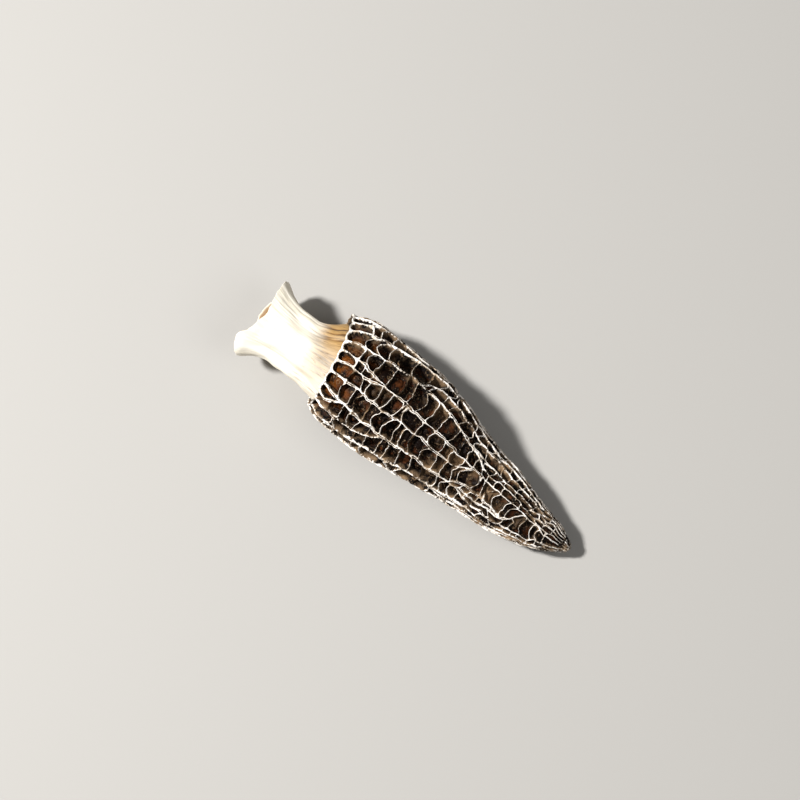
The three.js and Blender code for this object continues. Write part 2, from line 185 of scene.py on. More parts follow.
LEAN_SIZE = 7  # over how long a way that lean changes
# Rings of a pit's wall: distance in from the pale edge, share of the pit's depth, and how often smoothed
WALL_RINGS = [(0, 0.04, 0), (0.09, 0.42, 1), (0.22, 0.85, 3), (0.45, 1, 6)]
CLEAN_RINGS = 3  # the first rings of a pit, which have no wrinkles
FLOOR_RINGS = [0.4, 0.72]  # shares of the way from the foot of the wall to the middle
SEARCH = 26  # steps in which the middle of a pit is looked for
PIT_DOME = (0.02, 0.28)  # how far the middle of a floor swells up, as a share of the depth
PIT_TILT = 0.28  # how far one side of a floor lies below the other, as a share of the depth
NARROW_PIT = (1.3, 0.3)  # a pit is at most 1.3 times as deep as half its width, and 0.3 more
DEEPEST = 1.2  # no place in a pit lies deeper than this many times its depth
WALL_FOLDS = (0.8, 0.12)  # size and depth of the folds that run down the walls
FLOOR_LUMPS = ((1.1, 1, 0.16), (2.4, 1, 0.12))  # in a pit: width, length over width, and height
WALL_LUMPS = 0.35  # their height on a wall, as a share of that
SLOT_ROUNDING = 7  # how often more the slots along the rim are smoothed
# Rings over the rim's face: along, depth, how far they follow the scalloped edge, and how pale they are
RIM_FACE = [(-0.1, 0.12, 1, 0.95), (-0.16, 0.4, 0.9, 0.88), (-0.05, 0.75, 0.6, 0.7), (0.2, 1.4, 0.2, 0.5)]
LINING_HEIGHT, LINING_TONE = 0.4, 0.5  # these give the hollow of the cap the colour of worn sides
RIM_WORN = (1.4, 0.1, 0.14)  # size of the worn places, how far they stand out, and how much darker they are
CREASES = (2.2, 3, 0.12)  # in the lining: width, length over width, and depth
TIP_RINGS = [(61.6, 0.45), (62, 0.5), (62.5, 0.45), (62.9, 0.3)]  # along, and depth between the ribs
TIP_LUMPS = ((1.3, 1, 0.24), (0.5, 1, 0.1))  # width, length over width, and depth
TIP_SWING = (1.2, 0.22)  # length of the winds of the ribs over the tip, and how far they go, in radians
TIP_HEIGHT = (0.62, 0.4, 0.6)  # how pale the tip is, how much paler its ribs, and how much darker its dents
END_HEIGHT = 0.86  # how pale its very end is
TINT_GLOW_RUN = 7  # how far from the rim the pits' floors are orange-brown, partly as a painted glow
STEM_SIDES = 260
STEM_RINGS = 96
STEM_OVERLAP = 0.35  # how far the stem runs into the cap's rim
TUBE_RADIUS = 7.5  # of the straight tube on which fibres and pleats are laid out
FIBRES = ((0.5, 9, 0.07), (1.5, 5, 0.15))  # fine and broad: width, length over width, and height
PLEATS = (0.62, 7, 0.14)  # of the collar: width, length over width, and height
DENTS = (3.1, 0.2)  # in the stem: size and depth
INSIDE_RELIEF = -0.8  # relief on the bore, as a share of the outside's
LIP_WALL = 0.75  # thickness of the wall at the cut, as a share of STEM_WALL
LIP_RAGGED = 0.15
LIP_KINKS = 1.1  # length of the lip's kinks


def smooth(t):
    """Eases from 0 to 1."""
    c = np.clip(t, 0, 1)
    return c * c * (3 - 2 * c)


def mix(a, b, t):
    """The value a share t of the way from a to b."""
    return a + (b - a) * t


def make_random(seed):
    """A seeded draw between two limits, the same in every run."""
    state = seed

    def draw(low, high):
        nonlocal state
        state = state * 16807 % 2147483647
        return low + (high - low) * state / 2147483647

    return draw


def profile(stations, at):
    """A smooth curve through (position, value) stations. Its slope at each comes from the neighbours."""
    where, value = np.array(stations, float).T
    last = len(where) - 1
    n = np.arange(last + 1)
    before, after = np.maximum(n - 1, 0), np.minimum(n + 1, last)
    slope = (value[after] - value[before]) / (where[after] - where[before])
    p = np.clip(at, where[0], where[-1])
    i = np.clip(np.searchsorted(where, p) - 1, 0, last - 1)
    step = where[i + 1] - where[i]
    t = (p - where[i]) / step
    level = mix(value[i], value[i + 1], t * t * (3 - 2 * t))
    return level + step * t * (1 - t) * ((1 - t) * slope[i] - t * slope[i + 1])


def cap_centre(along):
    """The middle of a section of the cap, across and up."""
    half_height = profile(CAP_HALF_WIDTH, along) * ROUNDNESS
    return profile(CAP_CENTRE_Y, along), half_height + profile(CAP_LIFT, along)


def rim_lean(turn):
    """How far along the slanting rim lies beyond its centre."""
    return RIM_TILT * np.sin(turn) + RIM_RISE * np.cos(turn)


def cap_point(turn, along, depth):
    """Points of the cap, "depth" under the edges of its ribs."""
    width = profile(CAP_HALF_WIDTH, along)
    lump = LUMPS[0] * np.sin(3 * turn + along / LUMP_LENGTHS[0])
    lump = lump + LUMPS[1] * np.sin(2 * turn - along / LUMP_LENGTHS[1] + 1)
    swell = np.minimum(1, width / WIDEST) * lump
    centre_y, centre_z = cap_centre(along)
    fade = np.maximum(0, 1 - along / RIM_TILT_FADE) ** 2
    lean = rim_lean(turn) * fade
    across = centre_y - (width + swell - depth) * np.sin(turn)
    up = np.maximum(0, centre_z + (width * ROUNDNESS + swell - depth) * np.cos(turn))
    return np.stack([along + lean, across, up], -1)


def pit_depth(along):
    """Depth of a pit's floor: shallower where the cap is slim."""
    return PIT_DEPTH * (profile(CAP_HALF_WIDTH, along) / WIDEST) ** SLIM_DEPTH


# ---------------------------------------------------------------- the net of ribs and rungs


def become(i, share):
    """The rib that rib i has become at a share of the length, once joins and forks are followed."""
    rib = RIBS[i]
    if "joins" in rib and share >= rib["at"]:
        return become(i + rib["joins"], share)
    if "forks" in rib and share <= rib["from"]:
        return become(i + rib["forks"], share)
    return i


class Net:
    """The ribs as paths on the cap, and the knots where rungs meet them."""

    def __init__(self, draw):
        self.draw = draw
        long, short = WAVE_LENGTHS
        self.waves = [(draw(0, tau), draw(*long), draw(0, tau), draw(*short)) for _ in RIBS]
        self.knots = [[] for _ in RIBS]  # (share of the length, rib), for each rib
        for i, rib in enumerate(RIBS):
            for share in (0, rib.get("from"), rib.get("at"), 1):
                if share is not None:
                    self.tie(i, share)

    def turn_of(self, i, share):
        """The turn of rib i at a share of the length. It wavers, and swings over where it joins or forks."""
        rib = RIBS[i]
        along = share * TIP_RING
        phase_1, length_1, phase_2, length_2 = self.waves[i]
        wave = sin(phase_1 + tau * along / length_1) + SHORT_WAVE * sin(phase_2 + tau * along / length_2)
        stations = [(s, radians(turn)) for s, turn in zip(RIB_STATIONS, rib["turn"])]
        turn = float(profile(stations, share))
        turn += RIB_WAVE * wave * float(smooth(share * 8)) / (float(profile(CAP_HALF_WIDTH, along)) + 3)
        swings = []
        if "joins" in rib:
            swings.append((rib["joins"], float(smooth((share - rib["at"]) / JOIN_RUN + 1))))
        if "forks" in rib:
            swings.append((rib["forks"], float(smooth((rib["from"] - share) / JOIN_RUN + 1))))
        for other, weight in swings:
            if weight > 0:
                turn = mix(turn, self.turn_of(i + other, share), weight)
        return turn

    def tie(self, i, share):
        """The knot on rib i at a share of the length: a near one if there is one, or a new one."""
        rib = become(i, share)
        for knot in self.knots[rib]:
            if abs(knot[0] - share) * TIP_RING < SNAP:
                return knot
        knot = (share, rib)
        self.knots[rib] = sorted(self.knots[rib] + [knot])
        return knot

    def between(self, i, low, high):
        """The knots that rib i's path passes from one share of the length to another."""
        passed = [k for ks in self.knots for k in ks if low <= k[0] <= high and become(i, k[0]) == k[1]]
        return sorted(passed)


def gap_range(i):
    """Where the gap between rib i and the next one opens and closes, as shares of the length."""
    other = (i + 1) % len(RIBS)
    shares = sorted({0, 1} | {rib[key] for rib in RIBS for key in ("from", "at") if key in rib})
    runs = zip(shares, shares[1:])
    opened = [run for run in runs if become(i, sum(run) / 2) != become(other, sum(run) / 2)]
    return opened[0][0], opened[-1][1]


def gap_rungs(net, i):
    """The rungs of one gap, as pairs of knots from its start to its end."""
    other = (i + 1) % len(RIBS)
    opens, closes = gap_range(i)
    rungs = [(net.tie(i, opens), net.tie(other, opens))]
    end = closes * TIP_RING
    along = opens * TIP_RING + net.draw(*FIRST_RUNG) * (FORKED_SLOT if opens > 0 else 1)
    while along < end - SHORTEST_CELL * (2 if closes < 1 else 1):
        slant = net.draw(-RUNG_SLANT, RUNG_SLANT)
        left = net.tie(i, (along - slant) / TIP_RING)
        right = net.tie(other, (along + slant) / TIP_RING)
        rungs.append((left, right))
        along += float(profile(RUNG_STEP, along)) * net.draw(*RUNG_SPREAD)
    rungs.append((net.tie(i, closes), net.tie(other, closes)))
    return rungs


# ---------------------------------------------------------------- meshes


def grain(points, size, stretch=(1, 1, 1), seed=0.0):
    """Smooth noise from about -1 to 1 at each point, whose lumps are about "size" across."""
    scaled = np.asarray(points) / size / np.array(stretch) + seed
    return np.array([noise.noise(Vector(p)) for p in scaled]) * NOISE_GAIN


def layered_grain(points, layers, seeds):
    """Layers of noise added up. Each is given as (width, length over width, height)."""
    return sum(
        grain(points, width, (stretch, 1, 1), seed) * high
        for (width, stretch, high), seed in zip(layers, seeds)
    )


class Skin:
    """Points and faces of one mesh, with the values that its material reads at each point."""

    def __init__(self, *values):
        self.points, self.faces, self.charts = [], [], []
        self.values = {name: [] for name in values}
        self.count = 0

    def add(self, points, **values):
        """Adds points and returns their numbers."""
        points = np.atleast_2d(points)
        self.points.append(points)
        for name, made in self.values.items():
            made.append(np.broadcast_to(values[name], len(points)))
        self.count += len(points)
        return np.arange(self.count - len(points), self.count)

    def bands(self, rings):
        """Closed bands of faces, each from one (ring of points, its places on the flat chart) to the next."""
        for (outer, outer_chart), (inner, inner_chart) in zip(rings, rings[1:]):
            self.faces += np.stack([outer, np.roll(outer, -1), np.roll(inner, -1), inner], 1).tolist()
            corners = [outer_chart[:-1], outer_chart[1:], inner_chart[1:], inner_chart[:-1]]
            self.charts.append(np.stack(corners, 1).reshape(-1, 2))

    def fan(self, ring, ring_chart, centre, place):
        """Faces from a ring of points to one in its middle, whose place on the chart is given."""
        self.faces += [[int(a), int(b), int(centre)] for a, b in zip(ring, np.roll(ring, -1))]
        middle = np.broadcast_to(place, (len(ring), 2))
        self.charts.append(np.stack([ring_chart[:-1], ring_chart[1:], middle], 1).reshape(-1, 2))

    def build(self, name, material):
        """The mesh as an object at the origin, in metres."""
        points = np.concatenate(self.points) - (ORIGIN_X, ORIGIN_Y, 0)
        mesh = bpy.data.meshes.new(name)
        mesh.from_pydata((points * MM).tolist(), [], self.faces)
        for value, made in self.values.items():
            attribute = mesh.attributes.new(value, "FLOAT", "POINT")
            attribute.data.foreach_set("value", np.concatenate(made).astype(np.float32))
        chart = mesh.uv_layers.new(name="OFBake")
        chart.data.foreach_set("uv", np.concatenate(self.charts).astype(np.float32).ravel())
        mesh.materials.append(material)
        mesh.shade_smooth()
        piece = bpy.data.objects.new(name, mesh)
        bpy.context.scene.collection.objects.link(piece)
        return piece


def loop_smooth(ring, times):
    """Rounds the corners of a closed ring of points."""
    for _ in range(times):
        ring = ring / 2 + (np.roll(ring, 1, 0) + np.roll(ring, -1, 0)) / 4
    return ring


def distance_to_loop(points, loop):
    """Distance from each point to a closed loop of straight runs."""
    start = loop
    run = np.roll(loop, -1, 0) - start
    reach = points[..., None, :] - start
    share = (reach * run).sum(-1) / np.maximum((run * run).sum(-1), 1e-9)
    nearest = start + np.clip(share, 0, 1)[..., None] * run
    return np.linalg.norm(points[..., None, :] - nearest, axis=-1).min(-1)


def inside_loop(points, loop):
    """Whether each point lies inside a closed loop, by the runs that a line from it crosses."""
    x, y = points[:, None, 0], points[:, None, 1]
    (x0, y0), (x1, y1) = loop.T, np.roll(loop, -1, 0).T
    rise = np.where(y1 == y0, 1e-9, y1 - y0)
    crosses = ((y0 > y) != (y1 > y)) & (x < (x1 - x0) * (y - y0) / rise + x0)
    return crosses.sum(1) % 2 == 1


# ---------------------------------------------------------------- the cap


class CapSkin:
    """Builds the cap's skin: chains of points along ribs and rungs, and a pit inside each loop of them."""

    def __init__(self):
        self.net = Net(make_random(SEED))
        self.draw = make_random(DETAIL_SEED)
        self.skin = Skin("height", "warmth", "tone")
        self.chains = {}
        self.turn, self.along, self.edge, self.crest, self.pale = [], [], [], [], []
        self.knot_ids = {}

    def point(self, turn, along, edge, sag=0.0, pale=None):
        """The number of a new point on a rib or rung, "sag" lower. A rib sets by itself how pale it is."""
        place = cap_point(turn, along, 0)

        def noise_at(size, seed):
            return float(grain([place], size, seed=seed)[0])

        fade = float(smooth(along / 3))  # the rim stays where it is
        jumble = TIP_JUMBLE * float(smooth((along - JUMBLE_FROM) / JUMBLE_RUN))
        long_kink = CRINKLE[0] * (1 + jumble)
        long_size, short_size = KINK_SIZE
        wander_u = (noise_at(long_size, 3) * long_kink + noise_at(short_size, 5) * CRINKLE[1]) * fade
        wander_v = (noise_at(long_size, 9) * long_kink + noise_at(short_size, 11) * CRINKLE[1]) * fade
        rise = RISE[0] * noise_at(RISE_SIZE[0], 21) + RISE[1] * noise_at(RISE_SIZE[1], 27)
        split, rib = 0.0, pale is None
        if rib:
            split = float(smooth((noise_at(SPLIT_LENGTH, 33) + 0.02 + 0.15 * jumble) / 0.28)) * fade
            pale = mix(*RIB_PALE, float(smooth(0.5 + 0.7 * noise_at(PALE_SIZE, 51))))
        width = float(profile(CAP_HALF_WIDTH, along))
        turn += wander_u / (width + 0.5)
        along += wander_v
        crest = max(0.0, sag - rise + 0.1)
        slim = (width / WIDEST) ** 0.5
        edge *= slim
        if rib:
            edge = max(edge, SLOT_EDGE * (1 - float(smooth(along / SLOT_RUN))))
        groove = split * SPLIT_DEPTH * slim
        made = cap_point(turn, along, crest + groove)
        n = self.skin.add(made, height=pale - 0.6 * split, warmth=warmth(along), tone=0)
        self.turn.append(turn)
        self.along.append(along)
        self.crest.append(crest)
        self.pale.append(pale)
        varied = 1 + EDGE_VARIES[1] * noise_at(EDGE_VARIES[0], 15)
        self.edge.append(mix(edge, max(edge, SPLIT_EDGE * slim), split) * varied)
        return int(n[0])

    def knot(self, knot):
        """The number of a knot's point."""
        if knot not in self.knot_ids:
            share, rib = knot
            edge = RIM_EDGE if share == 0 else RIB_EDGE
            self.knot_ids[knot] = self.point(self.net.turn_of(rib, share), share * TIP_RING, edge)
        return self.knot_ids[knot]

    def chain(self, a, b, key, path, edge, pale=None):
        """The points from knot a to knot b. path gives (turn, along, sag) at a share of the way."""
        if key not in self.chains:
            ends = [path(t)[:2] for t in (0, 1)]
            radius = float(profile(CAP_HALF_WIDTH, ends[0][1]))
            length = np.hypot((ends[1][0] - ends[0][0]) * radius, ends[1][1] - ends[0][1])
            pieces = max(2, round(float(length) / CHAIN_STEP))
            stops = [path(k / pieces) for k in range(1, pieces)]
            between = [self.point(turn, along, edge, sag, pale) for turn, along, sag in stops]
            self.chains[key] = [self.knot(a), *between, self.knot(b)]
        return self.chains[key]

    def rib_chain(self, i, a, b):
        """Along a rib's path from knot a up to knot b."""
        rib = become(i, (a[0] + b[0]) / 2)

        def path(t):
            share = mix(a[0], b[0], t)
            return self.net.turn_of(rib, share), share * TIP_RING, 0.0

        return self.chain(a, b, (a, b, rib), path, RIB_EDGE)

    def rung_chain(self, i, a, b):
        """Across the gap after rib i, from knot a on its left to knot b on its right."""
        if a == b:
            return [self.knot(a)]
        key = (a, b, "rung", i)
        if key in self.chains:
            return self.chains[key]
        turn_a, turn_b = self.net.turn_of(a[1], a[0]), self.net.turn_of(b[1], b[0])
        turn_b += tau if turn_b < turn_a - 1 else 0
        along_a, along_b = a[0] * TIP_RING, b[0] * TIP_RING
        length = (turn_b - turn_a) * float(profile(CAP_HALF_WIDTH, along_a))
        on_ring = a[0] in (0, 1) and b[0] in (0, 1)  # round the rim or the tip
        at_rim = on_ring and a[0] == 0
        bow = length * self.draw(*RUNG_BOW)
        low = self.draw(0, 1) < LOW_RUNGS
        if on_ring:
            bow, sag = (RIM_BOW * min(1, length / 3), 0) if at_rim else (0, TIP_SAG)
        else:
            sag = self.draw(*(LOW_SAG if low else RUNG_SAG))
        skew = self.draw(-RUNG_SKEW, RUNG_SKEW)

        def path(t):
            arch = sin(pi * t ** (1 + skew))
            return mix(turn_a, turn_b, t), mix(along_a, along_b, t) - bow * arch, sag * arch

        if on_ring:
            edge, pale = (RIM_EDGE, 1.0) if at_rim else (RUNG_EDGE, TIP_PALE)
            return self.chain(a, b, key, path, edge, pale)
        return self.chain(a, b, key, path, RUNG_EDGE, self.draw(*(LOW_PALE if low else RUNG_PALE)))

    def loops(self):
        """The pits, as loops of point numbers, gap by gap."""
        gaps = [gap_rungs(self.net, i) for i in range(len(RIBS))]
        for i, rungs in enumerate(gaps):
            other = (i + 1) % len(RIBS)
            for low, high in zip(rungs, rungs[1:]):
                right = self.net.between(other, low[1][0], high[1][0])
                left = self.net.between(i, low[0][0], high[0][0])
                loop = list(self.rung_chain(i, *low)[:-1]) if low[0] != low[1] else []
                for a, b in zip(right, right[1:]):
                    loop += self.rib_chain(other, a, b)[:-1]
                loop += self.rung_chain(i, *high)[::-1][:-1] if high[0] != high[1] else []
                for a, b in reversed(list(zip(left, left[1:]))):
                    loop += self.rib_chain(i, a, b)[::-1][:-1]
                yield loop

    def rings_in(self, flat, edge, rounding):
        """Rings from a loop of the net inwards: the inside of its pale edge, the wall's, and the floor's.

        They shrink towards a spine: the nearest places that lie far from the loop on all sides.
        """
        low, high = flat.min(0), flat.max(0)
        grid = np.stack(np.meshgrid(*np.linspace(low, high, SEARCH).T), -1).reshape(-1, 2)
        depth_in = distance_to_loop(grid, flat) * inside_loop(grid, flat)
        deep = grid[depth_in > 0.8 * depth_in.max()]
        middle = deep.mean(0)
        spine = deep[np.linalg.norm(flat[:, None] - deep[None], axis=-1).argmin(1)]
        spine = loop_smooth(spine, 3)
        ways = np.linspace(0, 1, SEARCH)
        tries = flat[:, None] + (spine - flat)[:, None] * ways[None, :, None]
        away = np.maximum.accumulate(distance_to_loop(tries, flat), 1)
        room = depth_in.max()
        squeeze = min(1, room * 0.75 / (WALL_RINGS[-1][0] + np.median(edge)))
        band = np.maximum(0.35 * edge, edge - PALE_BAND)
        wall = [(distance + edge, times + rounding) for distance, _, times in WALL_RINGS]
        rings = []
        for wanted, times in [(band, 0), *wall]:
            share = np.array([np.interp(w, a, ways) for w, a in zip(wanted * squeeze, away)])
            rings.append(loop_smooth(flat + (spine - flat) * share[:, None], times))
        foot = rings[-1]
        rings += [loop_smooth(foot + (spine - foot) * share, 3) for share in FLOOR_RINGS]
        return rings, middle, room

    def add_pit(self, loop):
        """One pit: pale edge, leaning wrinkled walls, and a floor that swells up in its middle."""
        loop = np.array(loop)
        turn = np.array([self.turn[n] for n in loop])
        turn -= tau * np.round((turn - turn[0]) / tau)
        along = np.array([self.along[n] for n in loop])
        radius = float(profile(CAP_HALF_WIDTH, along.mean()))
        base = turn.mean()
        flat = np.stack([(turn - base) * radius, along], 1)
        rounding = SLOT_ROUNDING if along.min() < 0.5 else 0
        rings, middle, room = self.rings_in(flat, np.array([self.edge[n] for n in loop]), rounding)
        most = room * NARROW_PIT[0] + NARROW_PIT[1]
        depth = min(float(pit_depth(along.mean())) * self.draw(*DEPTH_SPREAD), most)
        dome, tone, seed = self.draw(*PIT_DOME), self.draw(-1, 1), self.draw(0, 50)
        tilt_way = self.draw(0, tau)
        tilt = PIT_TILT * np.array([cos(tilt_way), sin(tilt_way)]) / np.ptp(flat, 0).max()
        crest = loop_smooth(np.array([self.crest[n] for n in loop]), 1)
        pale = loop_smooth(np.array([self.pale[n] for n in loop]), 1)

        def chart(ring):
            closed = np.vstack([ring, ring[:1]])
            return self.chart(base + closed[:, 0] / radius, closed[:, 1])

        made = [(loop, chart(flat))]
        steps = [0] + [share for _, share, _ in WALL_RINGS] + [1 - dome * 0.7, 1 - dome]
        for n, (ring, share) in enumerate(zip(rings, steps)):
            at = cap_point(base + ring[:, 0] / radius, ring[:, 1], depth * share)
            on_wall = n <= len(WALL_RINGS)
            wrinkled = n >= CLEAN_RINGS
            fold = grain(at, WALL_FOLDS[0], (1, 1, 1.6), seed) * WALL_FOLDS[1]
            lean = np.stack([grain(at, LEAN_SIZE, seed=40), grain(at, LEAN_SIZE, seed=47)], 1)
            lean = lean * BLADE_LEAN * share * on_wall
            moved = ring + lean + (fold[:, None] * (ring - middle) if on_wall and wrinkled else 0)
            lump = layered_grain(at, FLOOR_LUMPS, (seed, seed + 9)) * (WALL_LUMPS if on_wall else 1)
            lump = lump * wrinkled + depth * share ** 3 * ((ring - middle) @ tilt)
            down = np.minimum(depth * share + lump, depth * DEEPEST) + crest * (1 - share)
            place = cap_point(base + moved[:, 0] / radius, moved[:, 1], down)
            height = (1 - share) * pale * on_wall
            points = self.skin.add(place, height=height, warmth=warmth(ring[:, 1]), tone=tone)
            made.append((points, chart(ring)))
        self.skin.bands(made)
        middle_turn = base + middle[0] / radius
        place = cap_point(middle_turn, middle[1], depth * (1 - dome * 1.1))
        centre = self.skin.add(place, height=0, warmth=warmth(middle[1]), tone=tone)
        self.skin.fan(*made[-1], centre[0], self.chart(middle_turn, middle[1]))

    def chart(self, turn, along):
        """Place on the flat chart of the outside, which is unrolled from just before the first rib."""
        across = (np.asarray(turn) + radians(85)) / radians(385)
        return np.stack([across, 0.02 + np.asarray(along) / CAP_LENGTH * 0.74], -1)

    def ring_loop(self, share):
        """The closed ring of point numbers round the rim or the tip."""
        ring = []
        for i in range(len(RIBS)):
            a, b = self.net.tie(i, share), self.net.tie((i + 1) % len(RIBS), share)
            if a != b:
                ring += self.rung_chain(i, a, b)[:-1]
        return np.array(ring)

    def close_tip(self):
        """From the ring where the ribs end to the lumpy tip, over which some of the ribs run on."""
        ring = self.ring_loop(1)
        turn = np.unwrap([self.turn[n] for n in ring])

        def chart(along):
            return self.chart(np.append(turn, turn[0] + tau), np.full(len(turn) + 1, along))

        knots = set(self.knot_ids.values())
        ribs = np.array([n in knots for n in ring], float)
        made = [(ring, chart(TIP_RING))]
        for along, depth in TIP_RINGS:
            at = cap_point(turn, np.full(len(turn), along), 0)
            lump = layered_grain(at, TIP_LUMPS, (70, 73))
            strength = ribs * smooth(0.6 + 0.9 * grain(at, 1.1, seed=76))
            height = TIP_HEIGHT[0] + TIP_HEIGHT[1] * strength - TIP_HEIGHT[2] * lump
            swing = TIP_SWING[1] * grain(at, TIP_SWING[0], seed=79)
            down = depth * (1 - strength) + lump
            points = self.skin.add(cap_point(turn + swing, along, down), height=height, warmth=0, tone=0)
            made.append((points, chart(along)))
        self.skin.bands(made)
        centre = self.skin.add(cap_point(0, CAP_LENGTH, TIP_DROP), height=END_HEIGHT, warmth=0, tone=0)
        self.skin.fan(*made[-1], centre[0], self.chart(pi, CAP_LENGTH))

    def close_rim(self):
        """Over the crinkled rim and down the lining of the hollow to its blind end."""
        ring = self.ring_loop(0)[::-1]
        turn = np.unwrap([self.turn[n] for n in ring])
        ends = np.append(turn, turn[0] - tau)
        scallop = np.array([self.along[n] for n in ring])

        def chart(v):
            return np.stack([(ends - ends.min()) / tau * 0.98 + 0.01, np.full(len(ends), v)], 1)

        def add(along, depth, height, tone):
            return self.skin.add(cap_point(turn, along, depth), height=height, warmth=1, tone=tone)

        rings = [ring]
        for n, (along, depth, follow, pale) in enumerate(RIM_FACE):
            along = along + scallop * follow
            worn = grain(cap_point(turn, along, depth), RIM_WORN[0], (0.5, 1, 1), 87)
            out = along - RIM_WORN[1] * worn * (n > 0)
            rings.append(add(out, depth, pale - RIM_WORN[2] * worn, 0))
        width, stretch, deep = CREASES
        for along in HOLLOW_RINGS:
            depth = float(pit_depth(along) * 1.1 + FLESH + RIM_FLESH * smooth(1 - along / 6))
            crease = deep * grain(cap_point(turn, along, depth), width, (stretch, 1, 1), 81)
            down = depth + crease * (along > 0)
            rings.append(add(along, down, LINING_HEIGHT, LINING_TONE))
        made = [(points, chart(0.8 + 0.19 * n / len(rings))) for n, points in enumerate(rings)]
        self.skin.bands(made)
        place = (HOLLOW_END, *cap_centre(HOLLOW_END))
        centre = self.skin.add(place, height=LINING_HEIGHT, warmth=1, tone=LINING_TONE)
        self.skin.fan(*made[-1], centre[0], (0.5, 0.995))


def warmth(along):
    """Near the stem the pits' floors are thin and orange-brown: partly their own colour, partly a painted
    glow of light shining through them.
    """
    return np.exp(-(np.asarray(along, float) / TINT_GLOW_RUN) ** 2)


def make_cap(material):
    """The whole cap as one closed skin."""
    cap = CapSkin()
    for loop in list(cap.loops()):
        cap.add_pit(loop)
    cap.close_tip()
    cap.close_rim()
    return cap.skin.build("cap_skin", material)


# ---------------------------------------------------------------- the stem


def stem_point(turn, along, depth):
    """Points of the stem, "depth" under its skin. Long folds run down it and fade at the cap."""
    fade = smooth(-along / 5)
    folds = FOLDS[0] * np.sin(5 * turn + 0.6 + along / FOLD_LENGTHS[0])
    folds = folds + FOLDS[1] * np.sin(8 * turn + 2.1 - along / FOLD_LENGTHS[1])
    corner = CORNER * smooth((-along - FLARE) / 5) * np.abs(np.sin(turn)) ** 3
    from_lobe = ((along - LOBE_ALONG) / LOBE_LENGTH) ** 2 + ((turn - radians(LOBE_TURN)) / LOBE_WIDTH) ** 2
    lobe = LOBE * np.exp(-from_lobe)
    out = fade * folds + corner + lobe - depth
    lean = rim_lean(turn) * smooth(1 + along / STEM_TILT_FADE)
    across = profile(STEM_CENTRE_Y, along) - (profile(STEM_HALF_WIDTH, along) + out) * np.sin(turn)
    up = profile(STEM_CENTRE_Z, along) + (profile(STEM_HALF_HEIGHT, along) + out) * np.cos(turn)
    return np.stack([along + lean, across, up], -1)


def make_stem(material):
    """The stem: its fibrous skin, the thin ragged lip of the cut, and the bore."""
    skin = Skin("inside", "collar", "groove", "tube_x", "tube_y", "tube_z")
    turn = np.arange(STEM_SIDES) * tau / STEM_SIDES
    ends = np.arange(STEM_SIDES + 1) / STEM_SIDES
    lip = profile(CUT, np.degrees(turn))
    lip = lip + LIP_RAGGED * grain(stem_point(turn, lip, 0), LIP_KINKS, seed=90)

    def ring(share, depth, inside):
        """Points of one ring: "share" of the way from the cut to the cap."""
        along = mix(lip, STEM_OVERLAP, share)
        # Places on a straight tube, so that fibres and pleats follow the flare of the stem
        tube = np.stack([along, TUBE_RADIUS * np.cos(turn), TUBE_RADIUS * np.sin(turn)], -1)
        fibre = layered_grain(tube, FIBRES, (101, 103))
        width, stretch, high = PLEATS
        in_collar = smooth((share - 0.5) / 0.25) * (1 - smooth((share - 0.95) / 0.05))
        pleat = grain(tube, width, (stretch, 1, 1), 107) * in_collar
        dent = grain(stem_point(turn, along, depth), DENTS[0], seed=109) * DENTS[1]
        wrinkle = (fibre + high * pleat + dent) * (INSIDE_RELIEF if inside else 1)
        # groove grows where the pleats and fibres sink in, and the material paints shade there
        return skin.add(
            stem_point(turn, along, depth - wrinkle * min(1, 6 * share + 0.4)),
            inside=inside * smooth((share - 0.005) / 0.02), collar=smooth((share - 0.55) / 0.28),
            groove=np.clip(0.85 - 0.7 * pleat - 1.5 * fibre, 0, 1.5),
            tube_x=tube[:, 0], tube_y=tube[:, 1], tube_z=tube[:, 2],
        )

    def wall(share):
        thick = mix(STEM_WALL, HOLLOW_AT_JOINT, smooth((share - 0.7) / 0.3))
        return thick * mix(LIP_WALL, 1, smooth(share * 5))

    def chart(v):
        return np.stack([ends, ends * 0 + v], 1)

    steps = np.linspace(0, 1, STEM_RINGS)
    outside = [(ring(share, 0, 0), 0.01 + 0.58 * share) for share in mix(steps, smooth(steps), 0.35)]
    steps = np.linspace(1, 0, STEM_RINGS // 2)
    bore = [(ring(share, wall(share), 1), 0.98 - 0.35 * share) for share in steps]
    around_lip = (outside[0][0], 0.995)
    skin.bands([(points, chart(v)) for points, v in [*outside, *bore, around_lip]])
    return skin.build("stem_skin", material)


# ---------------------------------------------------------------- materials


def colour(hex_value):
    """An sRGB hex colour as linear RGBA."""
    parts = [int(hex_value[n:n + 2], 16) / 255 for n in (1, 3, 5)]
    return *[c / 12.92 if c <= 0.04045 else ((c + 0.055) / 1.055) ** 2.4 for c in parts], 1


def add_node(tree, kind, settings=None, inputs=None):
    """Adds a node with its settings. An input is a value, or an output socket to link from."""
    node = tree.nodes.new(kind)
    for name, value in (settings or {}).items():
        setattr(node, name, value)
    for name, value in (inputs or {}).items():
        if isinstance(value, bpy.types.NodeSocket):
            tree.links.new(value, node.inputs[name])
        else:
            node.inputs[name].default_value = value
    return node


def set_ramp(node, stops):
    """Gives a colour ramp its stops: (position, colour)."""
    ramp = node.color_ramp
    while len(ramp.elements) > 1:
        ramp.elements.remove(ramp.elements[-1])
    ramp.elements[0].position, ramp.elements[0].color = stops[0]
    for position, tint in stops[1:]:
        ramp.elements.new(position).color = tint
    return node.outputs["Color"]


def new_material(name):
    """An empty node material and its Principled shader."""
    material = bpy.data.materials.new(name)
    material.use_nodes = True
    tree = material.node_tree
    tree.nodes.clear()
    shader = add_node(tree, "ShaderNodeBsdfPrincipled")
    output = add_node(tree, "ShaderNodeOutputMaterial")
    tree.links.new(shader.outputs["BSDF"], output.inputs["Surface"])
    return material, tree, shader


